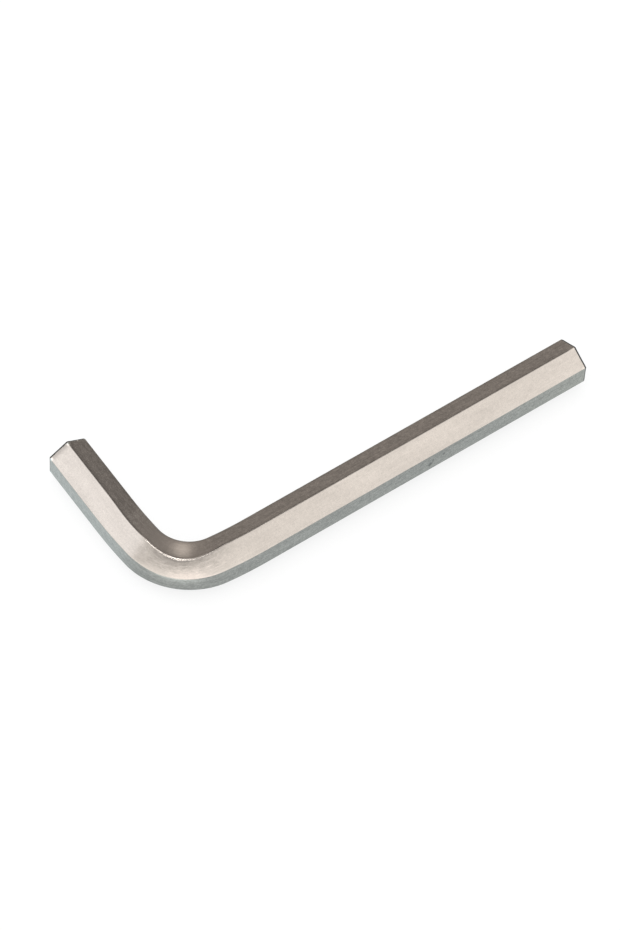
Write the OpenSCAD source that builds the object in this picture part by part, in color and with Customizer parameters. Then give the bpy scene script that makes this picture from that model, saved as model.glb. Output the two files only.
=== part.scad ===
// Hex key: one bar of hexagonal steel, bent once through a right angle.
// It lies flat, with the long arm along +X and the short arm along +Y.
// Two flats of the bar face the inside and the outside of the bend, so a corner edge
// runs along the top of both arms, and the key rests on the corner edge under them.
// The origin is at the middle of the key's box, on the surface it lies on.

/* [Bar] */
// Width of the hexagonal bar across its flats
across_flats = 10; // [6:0.5:16]
// Radius of the bar's six long edges
edge_r = 0.35; // [0.1:0.05:0.8]

/* [Arms] */
// Long arm, from the outer flat of the short arm to its tip
long_arm = 121.5; // [80:0.5:250]
// Short arm, from the outer flat of the long arm to its tip
short_arm = 49.5; // [45:0.5:90]

/* [Bend] */
// Radius of the bend along the inner flat
bend_inner_r = 11; // [6:0.5:18]

/* [Tips] */
// How far back along the bar the turned chamfer cuts its six corners
tip_corner_cut = 0.4; // [0.1:0.05:1]
// Slope of that chamfer, measured from the bar's axis
tip_slope = 30; // [20:5:60]

/* [Hidden] */
$fn = 96;

// Half of the angle between two neighbouring flats' normals
half_corner = 30;
// Straight steps in the rounding of each edge
edge_steps = 4;
// From the bar's axis to the centre line of an edge's rounding
edge_axis_r = (across_flats / 2 - edge_r) / cos(half_corner);
// From the bar's axis to the outside of a rounded edge
corner_r = edge_axis_r + edge_r;
// The bend on the outer flat and on the bar's axis
bend_outer_r = bend_inner_r + across_flats;
bend_axis_r = bend_inner_r + across_flats / 2;
// Radius of the chamfer's cone in the plane of each end face
tip_face_r = corner_r - tip_corner_cut * tan(tip_slope);

// The directions of the six edges, with one edge straight up
function edge_angles() = [for (i = [0:5]) 90 + 60 * i];

// The rounding of one edge, from the flat before it to the flat after it
function edge_arc(a) = [
    for (i = [0:edge_steps])
        let (turn = a - half_corner + 2 * half_corner * i / edge_steps)
            edge_axis_r * [cos(a), sin(a)] + edge_r * [cos(turn), sin(turn)]
];

// The bar's section: six flats, joined by six rounded edges
module bar_section() {
    polygon([for (a = edge_angles()) each edge_arc(a)]);
}

// A straight length of bar with its corners chamfered at the tip
module arm(length) {
    intersection() {
        linear_extrude(height = length) bar_section();
        cylinder(h = length, r1 = tip_face_r + length * tan(tip_slope), r2 = tip_face_r);
    }
}

// The quarter turn that joins the arms, round a centre at the origin
module bend() {
    rotate([0, 0, 180])
        rotate_extrude(angle = 90)
            translate([bend_axis_r, 0]) bar_section();
}

// The whole key, with the outer flats of its arms on the planes x = 0 and y = 0
module bent_bar() {
    translate([bend_outer_r, bend_outer_r, 0]) bend();
    translate([bend_outer_r, across_flats / 2, 0])
        rotate([90, 0, 90]) arm(long_arm - bend_outer_r);
    translate([across_flats / 2, bend_outer_r, 0])
        rotate([90, 0, 180]) arm(short_arm - bend_outer_r);
}

module hex_key() {
    color("silver")
        translate([-long_arm / 2, -short_arm / 2, corner_r]) bent_bar();
}

hex_key();
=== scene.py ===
# %% [markdown]
# A hex key in Blender
#
# The real object is a single length of hexagonal steel bar. It is cut off, chamfered
# at both ends, bent once through a right angle, hardened and nickel plated. The packed
# model gives its true place and size, and this script gives it its looks.
# Everything is in metres, with the long arm along X, the short arm along Y and Z up.

# %% Load the frame and keep its box
from math import atan2, cos, hypot, pi, radians, sin, tan

import bmesh
import bpy
from mathutils import Matrix, Vector


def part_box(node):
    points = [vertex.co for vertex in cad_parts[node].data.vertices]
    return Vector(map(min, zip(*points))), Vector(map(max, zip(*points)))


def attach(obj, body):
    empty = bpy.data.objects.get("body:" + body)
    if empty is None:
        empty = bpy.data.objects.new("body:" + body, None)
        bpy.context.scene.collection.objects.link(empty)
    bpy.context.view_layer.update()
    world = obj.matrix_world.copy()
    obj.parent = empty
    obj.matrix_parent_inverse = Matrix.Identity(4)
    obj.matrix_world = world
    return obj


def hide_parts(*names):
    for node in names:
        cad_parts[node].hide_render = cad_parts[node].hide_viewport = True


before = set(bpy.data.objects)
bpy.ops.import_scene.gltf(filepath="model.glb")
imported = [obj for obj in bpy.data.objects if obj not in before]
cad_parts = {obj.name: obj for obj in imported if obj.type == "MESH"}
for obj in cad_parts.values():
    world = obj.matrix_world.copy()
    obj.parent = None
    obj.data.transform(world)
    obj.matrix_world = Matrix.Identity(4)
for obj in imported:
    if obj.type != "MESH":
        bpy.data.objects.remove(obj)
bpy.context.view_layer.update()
low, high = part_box("hex_key")
print("key's box in mm:", [round(1000 * side, 2) for side in high - low])

# %% [markdown]
# Sizes come first, because every later step is worked out from them. The box gives the
# arms, and the bar itself is described by a few numbers: its width across the flats, the
# radius of its long edges, and the small chamfer that breaks the corners of each tip.
# The bar does not go straight into its bend. On each side it starts to turn gently,
# because the bending roller also pulls on the length in front of it.

# %% Sizes of the bar and of its bend
MM = 0.001
across_flats = 10 * MM
edge_r = 0.35 * MM
tip_corner_cut = 0.4 * MM
tip_slope = radians(30)
bend_axis_r = 14.25 * MM
lead_r = 110 * MM
lead_angle = radians(5.5)

# Half of the angle between the directions of two neighbouring flats
half_corner = pi / 6
half = across_flats / 2
# From the bar's axis to an edge, if it were sharp, and to the rounded edge
sharp_r = half / cos(half_corner)
corner_r = (half - edge_r) / cos(half_corner) + edge_r

# The arms' axes cross here, at the middle of the bar's height
cross = Vector((low.x + half, low.y + half, low.z + corner_r))
# Centre of the bend, and of the gentle turns beside it, measured from that crossing
bend_centre = lead_r - (lead_r - bend_axis_r) * cos(lead_angle)
lead_centre = bend_centre + (lead_r - bend_axis_r) * sin(lead_angle)
print("the bend starts", round(lead_centre / MM, 2), "mm from the crossing of the axes")

# %% [markdown]
# The camera stands where the photographer stood: well above the key and to its left,
# far away with a long lens, and turned very slightly about its own line of sight.
# A camera that is set by angles and an aim point is easier to read than one that is set
# by a matrix of numbers, so the three turns are written one after the other.

# %% Camera
camera_azimuth = radians(-38.1)
camera_elevation = radians(57.4)
camera_roll = radians(3.96)
camera_distance = 1.193
camera_aim = Vector((-9.38 * MM, -9.5 * MM, corner_r))

camera = bpy.data.objects.new("camera", bpy.data.cameras.new("camera"))
bpy.context.scene.collection.objects.link(camera)
turn = (
    Matrix.Rotation(camera_azimuth, 4, "Z")
    @ Matrix.Rotation(pi / 2 - camera_elevation, 4, "X")
    @ Matrix.Rotation(camera_roll, 4, "Z")
)
camera.matrix_world = (
    Matrix.Translation(camera_aim) @ turn @ Matrix.Translation((0, 0, camera_distance))
)
camera.data.sensor_fit = "VERTICAL"
camera.data.sensor_height = 36
camera.data.lens = 194.9
camera.data.clip_start = 0.05
camera.data.clip_end = 20
bpy.context.scene.camera = camera
print("camera at", [round(x, 3) for x in camera.matrix_world.translation])

# %% [markdown]
# The section of the bar is a hexagon with small rounded edges. It could be typed in point
# by point, but a circle of six points already is a hexagon, and a bevel of its points
# rounds them in the plane. The bevel's own curve is not quite a circle, so its points are
# then set on one. The bar is turned so that two flats face the inside and the outside of
# the bend, so one edge points up. Each flat is divided across, so that a later step can
# crown it.

# %% Section at the start of the long arm
EDGE_SEGMENTS = 6
FLAT_CUTS = 23

bm = bmesh.new()
axis_start = cross + Vector((lead_centre, 0, 0))
# The section's own X points out of the bend and its own Y points up
upright = Matrix(((0, 0, -1, 0), (-1, 0, 0, 0), (0, 1, 0, 0), (0, 0, 0, 1)))
bmesh.ops.create_circle(
    bm,
    cap_ends=True,
    radius=sharp_r,
    segments=6,
    matrix=Matrix.Translation(axis_start) @ upright,
)
bmesh.ops.bevel(
    bm,
    geom=bm.verts[:],
    offset=edge_r * tan(half_corner),
    offset_type="OFFSET",
    affect="VERTICES",
    segments=EDGE_SEGMENTS,
    profile=0.5,
    material=-1,
)
for v in bm.verts:
    spoke = v.co - axis_start
    nearest_edge = round(atan2(spoke.y, spoke.z) / (pi / 3)) * pi / 3
    edge_centre = Vector((0, sin(nearest_edge), cos(nearest_edge))) * (corner_r - edge_r)
    v.co = axis_start + edge_centre + (spoke - edge_centre).normalized() * edge_r
flat_edges = [e for e in bm.edges if e.calc_length() > half]
bmesh.ops.subdivide_edges(bm, edges=flat_edges, cuts=FLAT_CUTS)
bmesh.ops.delete(bm, geom=bm.faces[:], context="FACES_ONLY")
section = bm.edges[:]
print("points round the section:", len(section))

# %% [markdown]
# The bar is a section that travels along a path, so it could be a curve with a thickness.
# A curve would turn into a mesh with rows that are hard to place, so the section is swept
# here by operators instead. Spin turns it about a centre and joins each copy to the last.
# It takes three spins: the gentle turn, the bend itself, and the gentle turn on the other
# side. The arms are then extruded in straight lines from both ends.

# %% Helpers that sweep a ring of edges
def edges_of(geom):
    return [g for g in geom if isinstance(g, bmesh.types.BMEdge)]


def verts_of(geom):
    return [g for g in geom if isinstance(g, bmesh.types.BMVert)]


def points_of(ring):
    """The points of a ring of edges, each of them once."""
    return list(dict.fromkeys(v for e in ring for v in e.verts))


def sweep(ring, centre, angle, steps):
    """Turn a ring of edges about an upright axis, and return the last ring."""
    out = bmesh.ops.spin(
        bm,
        geom=points_of(ring) + ring,
        cent=cross + Vector(centre),
        axis=(0, 0, 1),
        angle=angle,
        steps=steps,
    )
    return edges_of(out["geom_last"])


def push(ring, direction, distances):
    """Extrude a ring of edges to each distance in turn, and return the last ring."""
    reached = 0
    for distance in distances:
        out = bmesh.ops.extrude_edge_only(bm, edges=ring)
        points = verts_of(out["geom"])
        bmesh.ops.translate(bm, verts=points, vec=Vector(direction) * (distance - reached))
        ring = [e for e in edges_of(out["geom"]) if all(v in points for v in e.verts)]
        reached = distance
    return ring


# %% Sweep the section round the bend and along both arms
LEAD_STEPS = 10
BEND_STEPS = 64
ROWS = 12
TIP_ROWS = 8
TIP_ROW = 0.3 * MM


def row_distances(run):
    """Even rows along an arm, and closer ones over the last few millimetres."""
    fine_start = run - TIP_ROWS * TIP_ROW
    even = [fine_start * (i + 1) / ROWS for i in range(ROWS)]
    return even + [fine_start + TIP_ROW * (i + 1) for i in range(TIP_ROWS)]


first_lead = sweep(section, (lead_centre, lead_r, 0), -lead_angle, LEAD_STEPS)
bend_end = sweep(
    first_lead, (bend_centre, bend_centre, 0), -(pi / 2 - 2 * lead_angle), BEND_STEPS
)
short_start = sweep(bend_end, (lead_r, lead_centre, 0), -lead_angle, LEAD_STEPS)
long_run = high.x - cross.x - lead_centre
short_run = high.y - cross.y - lead_centre
long_tip = push(section, (1, 0, 0), row_distances(long_run))
short_tip = push(short_start, (0, 1, 0), row_distances(short_run))
print("faces after the sweep:", len(bm.faces))

# %% [markdown]
# Each tip is cut square. Its six corners are chamfered on a cone, and the rest of its rim
# only has its sharpness taken off. No boolean is needed: each point of the last ring has
# a place on the end face, either on the cone's circle or a little way in from the flat,
# and it slides back along the bar by as much as the slope asks. One more ring, at those
# places on the end face, closes the tip. A small bevel then rounds the lines that the
# chamfer makes, because a plated edge is never sharp.

# %% Chamfer both tips
tip_face_r = corner_r - tip_corner_cut * tan(tip_slope)
tip_edge_break = 0.2 * MM
TIP_BEVEL = 0.06 * MM


def chamfer_tip(ring, axis_end, outward):
    """Slide a ring back onto the chamfer, and close it with a flat end face."""
    outward = Vector(outward)

    def across(v):
        spoke = v.co - axis_end
        return spoke - spoke.dot(outward) * outward

    def inset(v):
        return max(across(v).length - tip_face_r, tip_edge_break)

    for v in points_of(ring):
        v.co -= outward * inset(v) / tan(tip_slope)
    out = bmesh.ops.extrude_edge_only(bm, edges=ring)
    points = verts_of(out["geom"])
    rim = [e for e in edges_of(out["geom"]) if all(v in points for v in e.verts)]
    for v in points:
        v.co = axis_end + across(v) - across(v).normalized() * inset(v)
    bmesh.ops.edgeloop_fill(bm, edges=rim)
    return rim


long_axis_end = Vector((high.x, cross.y, cross.z))
short_axis_end = Vector((cross.x, high.y, cross.z))
long_rim = chamfer_tip(long_tip, long_axis_end, (1, 0, 0))
short_rim = chamfer_tip(short_tip, short_axis_end, (0, 1, 0))
bmesh.ops.bevel(
    bm,
    geom=long_tip + short_tip + long_rim + short_rim,
    offset=TIP_BEVEL,
    offset_type="OFFSET",
    affect="EDGES",
    segments=3,
    profile=0.5,
    material=-1,
    clamp_overlap=True,
)
bmesh.ops.recalc_face_normals(bm, faces=bm.faces[:])
print("faces with chamfered tips:", len(bm.faces))

# %% [markdown]
# The marks of drawing run along the bar and follow it round the bend. To let a pattern do
# the same, every point is told where it would lie if the bar were straight: how far along
# it is from the middle of the bend, how far out from the bar's axis, and how far up. A UV
# map holds only two numbers, so the three, in millimetres, are kept on the mesh as an
# attribute named bar.

# %% Straight coordinates of the bar
half_bend = bend_axis_r * (pi / 4 - lead_angle)


def along_and_out(x, y):
    """Place of a point of the long half, given from the crossing of the axes."""
    if x >= lead_centre:
        return half_bend + lead_r * lead_angle + x - lead_centre, -y
    turned = atan2(lead_centre - x, lead_r - y)
    if turned <= lead_angle:
        outward_by = hypot(lead_centre - x, lead_r - y) - lead_r
        return half_bend + lead_r * (lead_angle - turned), outward_by
    turned = atan2(bend_centre - x, bend_centre - y)
    outward_by = hypot(bend_centre - x, bend_centre - y) - bend_axis_r
    return bend_axis_r * (pi / 4 - turned), outward_by


bar = bm.verts.layers.float_vector.new("bar")
for v in bm.verts:
    from_cross = v.co - cross
    if from_cross.x >= from_cross.y:
        along, outward_by = along_and_out(from_cross.x, from_cross.y)
    else:
        along, outward_by = along_and_out(from_cross.y, from_cross.x)
        along = -along
    v[bar] = Vector((along, outward_by, from_cross.z)) / MM
long_end = max(v[bar].x for v in bm.verts)
short_end = -min(v[bar].x for v in bm.verts)
print("bar's length:", round(long_end + short_end, 2), "mm")

# %% [markdown]
# Cold bending does not leave the hexagon as it was. The metal on the inside of the bend
# is squeezed and swells, and the metal on the outside is stretched and thins. So in the
# middle of the bend the top and bottom edges are drawn outwards, the inner edges part and
# the outer edges close in. It fades out smoothly towards the arms, which keep their true
# section. On the side of the short arm, where the bar was held, the top and bottom edges
# stay drawn a little for longer. A lattice could bend the shape like this too, but a few
# named shifts can each be measured on the real bar.

# %% Where along the bar the section is drawn
# Middle and reach of each stretch, in millimetres from the middle of the bend
DRAW_MIDDLE = 0.75
DRAW_REACH = 11
HELD_MIDDLE = -12.5
HELD_REACH = 11


def hump(along, middle, reach):
    """One in the middle of a stretch of bar, falling smoothly to nothing at its ends."""
    away = min(1, abs(along - middle) / reach)
    return cos(away * pi / 2) ** 2


def outwards_at(along):
    """The level direction out of the bend, at a place along the bar."""
    rest = abs(along) * MM
    if rest <= half_bend:
        turned = pi / 4 - rest / bend_axis_r
    else:
        turned = max(0, lead_angle - (rest - half_bend) / lead_r)
    if along >= 0:
        return Vector((-sin(turned), -cos(turned), 0))
    return Vector((-cos(turned), -sin(turned), 0))


draw_start = DRAW_MIDDLE - DRAW_REACH
draw_end = DRAW_MIDDLE + DRAW_REACH
print("the section is drawn from", draw_start, "to", draw_end, "mm along the bar")

# %% [markdown]
# Each edge of the section has its own shift, outwards and away from the middle plane, and
# a point between two edges takes its share of both. The flats are also crowned a little,
# and the top and bottom edges are blunted by the bending tool. The key is the same above
# and below its middle plane, so the shifts are given for the upper half only.

# %% Draw the section in the bend
# Shifts of the top edge, in the bend and where the bar was held
top_shift = Vector((1.35, -0.85)) * MM
held_shift = Vector((0.32, 0)) * MM
# Shifts of the outer edge and of the inner edge
outer_shift = Vector((0.2, -0.6)) * MM
inner_shift = Vector((0.2, 0.3)) * MM
# Crowns of the outer slope, the inner slope and the outer flat
outer_crown = 0.22 * MM
inner_crown = 0.12 * MM
upright_crown = 0.12 * MM
# The blunted edge: a wide rounding, how far it reaches onto the slopes, and its centre
blunt_r = 0.75 * MM
blunt_reach = blunt_r * tan(half_corner)
blunt_centre = Vector((0, (half - blunt_r) / cos(half_corner)))


def drawn(point, bent, held):
    """How far a point of the section's upper half moves, for two strengths of drawing."""
    around = atan2(point.x, point.y)
    outside = around >= 0
    near = top_shift * bent + held_shift * held
    far = (outer_shift if outside else inner_shift) * bent
    if abs(around) > 2 * half_corner:
        # On the upright flats the shift shrinks towards the middle plane
        level = min(1, max(0, point.y) / (corner_r / 2))
        bulge = upright_crown * bent * (1 - level**2) if outside else 0
        return Vector((far.x + bulge, far.y * level))
    # Share of the way down the slope, with none at the top edge
    share = 0.5 + tan(abs(around) - half_corner) / (2 * tan(half_corner))
    crown = (outer_crown if outside else inner_crown) * bent
    side = 1 if outside else -1
    off_slope = Vector((side * sin(half_corner), cos(half_corner)))
    shift = near.lerp(far, share) + off_slope * crown * 4 * share * (1 - share)
    if share * sharp_r < blunt_reach:
        round_by = side * half_corner * share * sharp_r / blunt_reach
        blunted = blunt_centre + Vector((sin(round_by), cos(round_by))) * blunt_r
        shift += (blunted - point) * bent
    return shift


longest = 0
for v in bm.verts:
    along, outward_by, up = v[bar]
    bent = hump(along, DRAW_MIDDLE, DRAW_REACH)
    held = hump(along, HELD_MIDDLE, HELD_REACH)
    if bent + held == 0:
        continue
    shift = drawn(Vector((outward_by, abs(up))) * MM, bent, held)
    way_up = 1 if up >= 0 else -1
    v.co += outwards_at(along) * shift.x + Vector((0, 0, way_up * shift.y))
    longest = max(longest, shift.length)
print("a point is moved by up to", round(longest / MM, 2), "mm")

# %% [markdown]
# The mesh now becomes a piece of its own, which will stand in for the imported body. With
# smooth shading alone the light would bend across each flat, because the rounded edges
# beside it are so narrow. A weighted normal lets the large faces decide, so the flats
# look flat and the edges still look round.

# %% Make the key a piece of its own
def object_from(name, shape):
    """Turn a bmesh into an object, with a mesh of the same name."""
    mesh = bpy.data.meshes.new(name)
    shape.to_mesh(mesh)
    shape.free()
    made = bpy.data.objects.new(name, mesh)
    bpy.context.scene.collection.objects.link(made)
    return made


key = object_from("nickel_key", bm)
key.data.shade_smooth()
weighted = key.modifiers.new("flat flats", "WEIGHTED_NORMAL")
weighted.mode = "FACE_AREA"
weighted.weight = 100
print("faces of the key:", len(key.data.polygons))

# %% [markdown]
# A material is easier to read as sums than as a web of nodes. This small class holds one
# socket, and an expression on it adds the Math nodes. Every other node comes from its
# one method, which sets the node up first and then fills or links its sockets.

# %% A socket that can be used in sums
class Wire:
    def __init__(self, tree, socket=None):
        self.tree = tree
        self.socket = socket

    def node(self, kind, settings, inputs, output=0):
        """Add a node, and return the wire of one of its outputs."""
        node = self.tree.nodes.new(kind)
        for name, value in settings.items():
            setattr(node, name, value)
        for name, value in inputs.items():
            if isinstance(value, Wire):
                self.tree.links.new(value.socket, node.inputs[name])
            else:
                node.inputs[name].default_value = value
        return Wire(self.tree, node.outputs[output])

    def math(self, operation, first, second=0):
        return self.node("ShaderNodeMath", {"operation": operation}, {0: first, 1: second})

    def __add__(self, other):
        return self.math("ADD", self, other)

    def __sub__(self, other):
        return self.math("SUBTRACT", self, other)

    def __rsub__(self, other):
        return self.math("SUBTRACT", other, self)

    def __mul__(self, other):
        return self.math("MULTIPLY", self, other)

    def __pow__(self, other):
        return self.math("POWER", self, other)

    def __abs__(self):
        return self.math("ABSOLUTE", self)

    __radd__ = __add__
    __rmul__ = __mul__


# %% Helpers that make masks, patterns and colours
def smooth(value, start, end):
    """Zero up to the start and one from the end on, with a smooth step between them."""
    return value.node(
        "ShaderNodeMapRange",
        {"interpolation_type": "SMOOTHSTEP"},
        {"Value": value, "From Min": start, "From Max": end},
    )


def fades(value, start, end):
    """One up to the start and zero from the end on."""
    return 1 - smooth(value, start, end)


def noise(vector, scale, detail, roughness=0.5):
    """Noise about zero, between about minus one and one, on a vector in millimetres."""
    raw = vector.node(
        "ShaderNodeTexNoise",
        {},
        {"Vector": vector, "Scale": scale, "Detail": detail, "Roughness": roughness},
    )
    return (raw - 0.5) * 2


def stretched(vector, along, outwards, upwards):
    """The vector with its three parts scaled apart."""
    scales = (along, outwards, upwards)
    return vector.node("ShaderNodeVectorMath", {"operation": "MULTIPLY"}, {0: vector, 1: scales})


def split(vector):
    """Three wires, one for each part of a vector."""
    first = vector.node("ShaderNodeSeparateXYZ", {}, {"Vector": vector})
    return [Wire(vector.tree, part) for part in first.socket.node.outputs]


def mixed(factor, first, second):
    """A colour between two others, where each is a wire or three numbers."""
    first, second = (c if isinstance(c, Wire) else (*c, 1) for c in (first, second))
    # A Mix node has sockets of several kinds, and these are the ones for colours
    colours = {"Factor": factor, 6: first, 7: second}
    return factor.node("ShaderNodeMix", {"data_type": "RGBA"}, colours, output=2)


def painted(name, values):
    """A material whose shader has the given values in its inputs."""
    material = bpy.data.materials.new(name)
    material.use_nodes = True
    shader = material.node_tree.nodes["Principled BSDF"]
    for input_name, value in values.items():
        shader.inputs[input_name].default_value = value
    return material


def feed(material, input_name, wire):
    """Let a wire decide one input of a material's shader."""
    shader = material.node_tree.nodes["Principled BSDF"]
    material.node_tree.links.new(wire.socket, shader.inputs[input_name])


# %% [markdown]
# The finish is satin nickel on drawn steel. A die leaves fine lines along the bar, and the
# plating over them is slightly pebbled, like the skin of an orange, with smaller specks
# and broad faint clouds. Where the bend stretched the steel its grain is coarser. The end
# faces have the marks of the wheel that ground them. Each of these is a noise on the bar
# attribute, and scaling that apart makes a pattern long in one direction. An image could
# show them too, but it would need a seam somewhere round the bar.

# %% Patterns of the steel and of its plating
nickel = painted("nickel_plate", {})
tree = nickel.node_tree
bar_place = Wire(tree).node(
    "ShaderNodeAttribute", {"attribute_name": "bar"}, {}, output="Vector"
)
bar_along, bar_out, bar_up = split(bar_place)

draw_lines = noise(stretched(bar_place, 0.06, 2.2, 2.2), scale=1, detail=3, roughness=0.6)
pebbles = noise(bar_place, scale=0.8, detail=2)
speckle = noise(bar_place, scale=2.2, detail=3, roughness=0.7)
clouds = noise(stretched(bar_place, 0.07, 0.3, 0.3), scale=1, detail=3)
grain = noise(stretched(bar_place, 0.7, 1.6, 1.6), scale=1, detail=4, roughness=0.7)
cut_marks = noise(stretched(bar_place, 1, 3.5, 0.15), scale=1, detail=3, roughness=0.6)
print("nodes in the patterns:", len(tree.nodes))

# %% [markdown]
# Wear and tool marks keep to certain flats and edges, so the next step finds those. They
# could be painted by hand on the mesh, but the bar attribute makes each of them a plain
# sum. Its numbers are millimetres on the bar before it was drawn. The flats are 5 mm from
# its axis there, and the rounded edges just over 5.7 mm.

# %% Flats and edges of the bar
bar_height = abs(bar_up)
from_ridge = abs(bar_out)
from_axis = (bar_out * bar_out + bar_up * bar_up) ** 0.5
# Distance from the axis, measured square to the two slopes on the outer side
off_outer_slope = bar_out * sin(half_corner) + bar_height * cos(half_corner)

outer_slope = smooth(off_outer_slope, 4.75, 4.98)
outer_flat = smooth(bar_out, 4.9, 4.98)
inner_side = fades(bar_out, -0.6, -0.1)
long_edge = smooth(from_axis, 5.4, 5.65)

# Distance back from the nearer tip tells the chamfered rims and the end faces
long_rest = long_end - bar_along
short_rest = bar_along + short_end
to_tip = long_rest.math("MINIMUM", long_rest, short_rest)
rim_band = fades(to_tip, 0.38, 0.5)
end_face = fades(to_tip, 0.01, 0.03)
print("nodes with the flats and edges:", len(tree.nodes))

# %% [markdown]
# Bending leaves its own marks. Outside the bend the steel is stretched, so it is coarser there.
# That zone is darkened a little and a strip beside the ridge is darker still, both as painted
# shade. Inside the bend the tool pressed the flats smooth, and it left a brighter place where it
# held the bar. The ridge, which is the edge along the top, is rubbed bright in the bend, and its
# lighter colour there is partly a painted highlight; the metal beside it there is polished. Each
# mark is a mask that is one in its own place and fades out around it.

# %% Marks of the bending, with painted shade and a painted highlight
def near_place(middle, full, none):
    """One within a distance of a place along the bar, and nothing past another."""
    return fades(abs(bar_along - middle), full, none)


# The stretched zone has coarser grain, and it is also darkened a little as painted shade
stretched_zone = near_place(2, full=5.5, none=13) * outer_slope * fades(bar_out, 2.6, 4.6)
# A strip of the outer slope beside the ridge, painted darker as painted shade
shade_beside_ridge = near_place(3.5, full=6, none=11.5) * outer_slope * fades(bar_out, 0.5, 2.4)
tool_mark = near_place(-2, full=6, none=13) * inner_side
clamp_mark = near_place(-10, full=5, none=10) * inner_side
in_bend = near_place(-1, full=6, none=11)
# The ridge in the bend is lightened, partly by rubbing and partly as a painted highlight
rubbed_ridge_and_highlight = fades(from_ridge, 0.2, 0.4) * in_bend
polished = fades(from_ridge, 0.35, 0.7) * in_bend
print("nodes with the marks of bending:", len(tree.nodes))

# %% [markdown]
# On the arms the ridge is painted darker as painted shade, in a line that ends just before the
# tips, and the flats inside it are a little darker beside their edges, also painted shade. The
# corners of the tips catch the light, as painted highlights. The short tip was sheared, so its
# outer slopes roll over, and the darker colour there is painted shade. The outer flat of the
# long arm has been knocked, which leaves a few shallow nicks.

# %% Painted shade and highlights of the arms and tips, and the nicks
# The ridge of the arms is painted darker, as painted shade
ridge_shade = fades(from_ridge, 0.12, 0.24) * (1 - in_bend) * smooth(to_tip, 1.0, 2.5)
# The inner slope reaches from the ridge to the inner flat, so its middle is halfway
from_slope_middle = abs(bar_out + half / 2 / MM)
# The inner flats are darker beside their edges, as painted shade
edge_shade = inner_side * smooth(from_slope_middle, 1.5, 2.4)
# Painted highlights on the corners of the tips, strongest at the short tip
tip_corner_highlight = long_edge * fades(to_tip, 0.8, 1.6)
short_corner_highlight = long_edge * fades(short_rest, 0.8, 1.6)
# Painted shade where the short tip's outer slopes roll over
rolled_end_shade = outer_slope * fades(short_rest, 0.7, 2.0) * (1 - long_edge)

# Each nick's place along the bar, its height and its radius, and how much it is shortened
NICKS = ((67.1, -0.6, 1.0), (67.8, 0.5, 0.7), (71.0, 0.7, 0.8))
NICK_SHORTER = 1.6
nicks = 0
for nick_along, nick_up, nick_r in NICKS:
    aside = (bar_along - nick_along) * NICK_SHORTER
    above = bar_up - nick_up
    from_nick = (aside**2 + above**2) ** 0.5 + pebbles * 0.5
    nicks = nicks + fades(from_nick, nick_r * 0.4, nick_r) * outer_flat
print("nodes with the wear:", len(tree.nodes))

# %% [markdown]
# Bare nickel has one colour, and everything on it makes that lighter or darker, so all
# masks and patterns first add up to a tone. The number after each says how much it counts.
# A Mix node stops at one, so half of the tone goes towards twice the colour. The chamfered
# rims are burnt dark by the heat of cutting: that is oxide, so they are no longer metal.

# %% Colour, roughness and metal of the plate
NICKEL = (0.73, 0.66, 0.5925)
BURNT_RIM = (0.035, 0.033, 0.03)
GROUND_DARK = (0.32, 0.3, 0.28)
GROUND_LIGHT = (0.62, 0.59, 0.55)

# Drawing smoothed the outer slopes most, and the bending tool smoothed the inside
mottle = 1.2 - outer_slope * 0.85 - tool_mark * 0.8
tone = 1 + clouds * 0.14 + (draw_lines * 0.2 + pebbles * 0.24 + speckle * 0.4) * mottle
# The stretched zone and the strip beside the ridge are darkened here as painted shade
tone = tone + grain * stretched_zone * 0.4 - stretched_zone * 0.03 - shade_beside_ridge * 0.16
# The ridge in the bend is lightened partly as a painted highlight, and the ridge of the arms is
# darkened as painted shade
tone = tone + clamp_mark * 0.2 + rubbed_ridge_and_highlight * 0.3 - ridge_shade * 0.4
# The inner flats are darkened beside their edges here, as painted shade
tone = tone + inner_side * 0.06 - edge_shade * 0.14
# Painted highlights on the tip corners and painted shade where the short tip rolls over
tone = tone + tip_corner_highlight * 0.15 + short_corner_highlight * 0.45 - rolled_end_shade * 0.3 - nicks * 0.35

plate = mixed(tone * 0.5, (0, 0, 0), [2 * part for part in NICKEL])
ground = mixed(0.5 + cut_marks * 0.3 + pebbles * 0.15, GROUND_DARK, GROUND_LIGHT)
tip = mixed(end_face, BURNT_RIM, ground)
feed(nickel, "Base Color", mixed(rim_band, plate, tip))
rough = 0.2 + pebbles * 0.03 + draw_lines * 0.02 + stretched_zone * 0.06 + rim_band * 0.3
feed(nickel, "Roughness", rough)
feed(nickel, "Metallic", 1 - rim_band * (1 - end_face))
print("nodes with the colour:", len(tree.nodes))

# %% [markdown]
# The pebbles, the lines and the nicks are only hundredths of a millimetre deep. Geometry
# that fine would need millions of faces, so a bump tilts the light on them instead. The
# rounded edges are left without it, because metal that is rubbed there is smooth.

# %% Fine relief of the plate
BUMP_HEIGHT = 0.01 * MM
BUMP_STRENGTH = 0.6

relief = (draw_lines * 0.5 + pebbles + speckle * 0.4) * (1 - long_edge)
relief = (relief + grain * stretched_zone * 1.4) * (1 - polished)
relief = relief - nicks * 8 + cut_marks * end_face
bump = relief.node(
    "ShaderNodeBump",
    {},
    {"Strength": BUMP_STRENGTH, "Distance": BUMP_HEIGHT, "Height": relief},
)
feed(nickel, "Normal", bump)
key.data.materials.append(nickel)
print("nodes in the nickel:", len(tree.nodes))

# %% [markdown]
# The floor is a plain white light table: it glows a little, so the key's shadow on it is
# faint. A white floor that is only lit from above would need a very bright lamp to look
# this white, and the key's shadow on it would be much darker.

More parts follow.
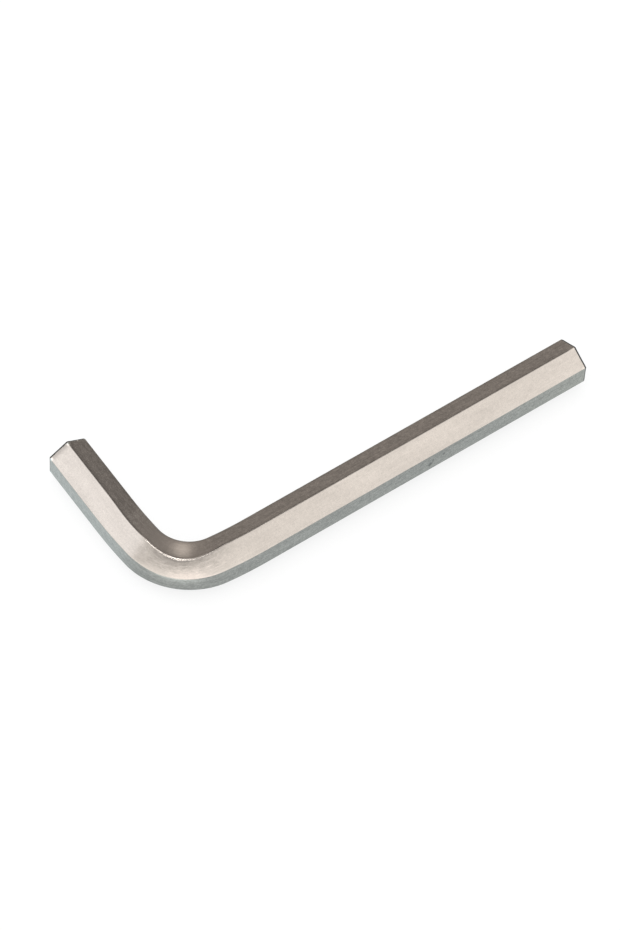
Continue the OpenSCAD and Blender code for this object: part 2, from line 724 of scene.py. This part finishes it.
# %% Floor
FLOOR_SIZE = 6.0
floor_shape = bmesh.new()
bmesh.ops.create_grid(floor_shape, x_segments=1, y_segments=1, size=FLOOR_SIZE / 2)
floor = object_from("floor", floor_shape)
floor_values = {
    "Base Color": (0.2, 0.2, 0.2, 1),
    "Roughness": 0.9,
    "Emission Color": (1, 1, 1, 1),
    "Emission Strength": 0.78,
}
floor.data.materials.append(painted("floor_paint", floor_values))
print("floor:", FLOOR_SIZE, "m square")

# %% [markdown]
# Polished metal has hardly any colour of its own and shows what stands around it, so most
# of the work of lighting it is choosing what it mirrors. A studio does this with white and
# black cards, just out of the picture. Each card here is seen only in the key's
# reflections. It casts no shadow and the camera does not see it, so the floor stays plain.

# %% How a card is made
def glow(name, colour):
    """A material that only gives off light of one colour."""
    values = {
        "Base Color": (0, 0, 0, 1),
        "Specular IOR Level": 0,
        "Emission Color": (*colour, 1),
        "Emission Strength": 1,
    }
    return painted(name, values)


def place_on(material):
    """A wire with the place of each point on a card."""
    return Wire(material.node_tree).node("ShaderNodeTexCoord", {}, {}, output="Object")


def how_far(place, centre):
    """A wire with the distance from a centre."""
    settings = {"operation": "DISTANCE"}
    return place.node("ShaderNodeVectorMath", settings, {0: place, 1: centre}, output="Value")


def reflected_card(name, shape, material):
    """A card that is seen only in the key's reflections."""
    card = object_from(name, shape)
    card.data.materials.append(material)
    card.visible_camera = False
    card.visible_diffuse = False
    card.visible_shadow = False


def oval_card(name, direction, distance, spreads, at_middle, at_rim):
    """An oval card that faces the key, as wide and as high as the given half angles.

    It shades smoothly from its middle to its rim.
    """
    centre = Vector(direction).normalized() * distance
    facing = centre.to_track_quat("Z", "Y").to_matrix().to_4x4()
    width, height = (distance * tan(radians(spread)) for spread in spreads)
    shape = bmesh.new()
    bmesh.ops.create_circle(shape, cap_ends=True, radius=1, segments=48)
    bmesh.ops.scale(shape, vec=(width, height, 1), verts=shape.verts[:])
    matrix = Matrix.Translation(centre) @ facing
    bmesh.ops.transform(shape, matrix=matrix, verts=shape.verts[:])
    material = glow(name, at_middle)
    from_middle = how_far(place_on(material), centre)
    feed(material, "Emission Color", mixed(smooth(from_middle, 0, width), at_middle, at_rim))
    reflected_card(name, shape, material)


# %% Cards that stand around the key
BACKDROP_GREY = (0.26, 0.245, 0.235)
LEFT_WHITE = (1.1, 1.12, 1.16)
LAMP_WHITE = (4.5, 4.5, 4.6)

# The ceiling is white at its rim and grey in the middle, where the photographer stands
oval_card(
    "ceiling",
    direction=(-0.1, 0.2, 0.975),
    distance=3.0,
    spreads=(53, 53),
    at_middle=(0.44, 0.44, 0.44),
    at_rim=(1, 1, 1),
)
# The dark backdrop stands behind the key, and the inner slopes mirror it
oval_card(
    "backdrop",
    direction=(0.4, 0.82, 0.4),
    distance=2.4,
    spreads=(50, 50),
    at_middle=BACKDROP_GREY,
    at_rim=(0.14, 0.136, 0.135),
)
# A faint light on the backdrop makes the soft spot on the inner side of the bend
oval_card(
    "back_lamp",
    direction=(0.545, 0.73, 0.48),
    distance=2.0,
    spreads=(12, 6),
    at_middle=(0.82, 0.785, 0.75),
    at_rim=BACKDROP_GREY,
)
# Two bright walls, low at the front for the bend, and on the left for the short arm
oval_card(
    "front_wall",
    direction=(-0.42, -0.8, 0.43),
    distance=2.2,
    spreads=(26, 24),
    at_middle=(1.32, 1.28, 1.28),
    at_rim=(1.25, 1.22, 1.22),
)
oval_card(
    "left_wall",
    direction=(-0.66, 0.47, 0.58),
    distance=2.2,
    spreads=(18, 18),
    at_middle=LEFT_WHITE,
    at_rim=LEFT_WHITE,
)
# A lamp high above, for the thin bright line on the ridge of the bend
oval_card(
    "edge_lamp",
    direction=(0.12, 0.16, 0.98),
    distance=1.5,
    spreads=(7, 7),
    at_middle=LAMP_WHITE,
    at_rim=LAMP_WHITE,
)
print("materials so far:", len(bpy.data.materials))

# %% [markdown]
# The outer flats mirror the floor beside the key, and that looks greyer in them than the floor
# does to the camera. One sheet just above the floor shows them this grey as a painted shadow of
# the key on the floor: it is darkest along the long arm, lighter towards its tip and beside the
# short arm, and lightest just outside the bend. Behind the key a second sheet is dark, as a
# painted reflection of the backdrop, the way a glossy table mirrors it.

# %% Cards that lie on the floor
FLOOR_SHADOW_HEIGHT = 0.02 * MM
BACKDROP_REFLECTION_HEIGHT = 0.03 * MM
# Greys of the painted shadow of the key on the floor, as its reflections show it
BESIDE_LONG_ARM = (0.4, 0.462, 0.49)
BESIDE_LONG_TIP = (0.46, 0.53, 0.55)
BESIDE_SHORT_ARM = (0.52, 0.61, 0.65)
OUTSIDE_BEND = (0.72, 0.84, 0.88)


def floor_card(name, x_range, y_range, height, material):
    """A card that lies just above the floor."""
    shape = bmesh.new()
    bmesh.ops.create_grid(shape, x_segments=1, y_segments=1, size=0.5)
    size = (x_range[1] - x_range[0], y_range[1] - y_range[0], 1)
    bmesh.ops.scale(shape, vec=size, verts=shape.verts[:])
    middle = (sum(x_range) / 2, sum(y_range) / 2, height)
    bmesh.ops.translate(shape, vec=middle, verts=shape.verts[:])
    reflected_card(name, shape, material)


# This sheet glows with a painted shadow of the key on the floor
floor_shadow_sheet = glow("floor_shadow_sheet", BESIDE_LONG_ARM)
floor_shadow_place = place_on(floor_shadow_sheet)
floor_shadow_x, floor_shadow_y, _ = split(floor_shadow_place)
towards_tip = smooth(floor_shadow_x, 0.03, 0.065)
beside_short = smooth(floor_shadow_y, -0.012, 0.002)
# Outside the bend means far enough from its centre, and near the line that halves its angle
from_turn = how_far(floor_shadow_place, (cross.x + bend_centre, cross.y + bend_centre, 0))
off_diagonal = abs(floor_shadow_x - floor_shadow_y - (cross.x - cross.y))
outside_bend = smooth(from_turn, 0.022, 0.03) * fades(off_diagonal, 0.01, 0.02)
long_side = mixed(towards_tip, BESIDE_LONG_ARM, BESIDE_LONG_TIP)
both_sides = mixed(beside_short, long_side, BESIDE_SHORT_ARM)
feed(floor_shadow_sheet, "Emission Color", mixed(outside_bend, both_sides, OUTSIDE_BEND))
floor_card("floor_shadow_sheet", (-0.095, 0.25), (-0.4, 0.2), FLOOR_SHADOW_HEIGHT, floor_shadow_sheet)
# A dark sheet with a painted reflection of the backdrop on the floor
backdrop_reflection_sheet = glow("backdrop_reflection_sheet", (0.23, 0.22, 0.21))
floor_card("backdrop_reflection_sheet", (-0.05, 2.6), (-0.011, 2.6), BACKDROP_REFLECTION_HEIGHT, backdrop_reflection_sheet)
print("nodes in the paper:", len(floor_shadow_sheet.node_tree.nodes))

# %% [markdown]
# The studio itself is an even white world, which lights the key softly from all sides. A
# wide lamp above adds light to the floor only, because it is hidden from mirror-like
# reflections. Colours are shown as they are, without a film look, so that the white of the
# floor stays white.

# %% Light
world = bpy.data.worlds.new("world")
bpy.context.scene.world = world
world.use_nodes = True
background = world.node_tree.nodes["Background"]
background.inputs["Color"].default_value = (1, 1, 1, 1)
background.inputs["Strength"].default_value = 1
soft_lamp = bpy.data.objects.new("soft_lamp", bpy.data.lights.new("soft_lamp", "AREA"))
soft_lamp.data.shape = "DISK"
soft_lamp.data.size = 1.6
soft_lamp.data.energy = 6
soft_lamp.location = (-0.3, 0.2, 1.5)
soft_lamp.visible_glossy = False
soft_lamp.visible_camera = False
bpy.context.scene.collection.objects.link(soft_lamp)
soft_lamp.rotation_euler = (-soft_lamp.location).to_track_quat("-Z", "Y").to_euler()
bpy.context.scene.view_settings.view_transform = "Standard"
print("soft lamp:", round(soft_lamp.location.length, 2), "m from the key")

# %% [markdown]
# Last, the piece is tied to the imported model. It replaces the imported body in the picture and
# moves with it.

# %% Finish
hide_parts("hex_key")
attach(key, "root")
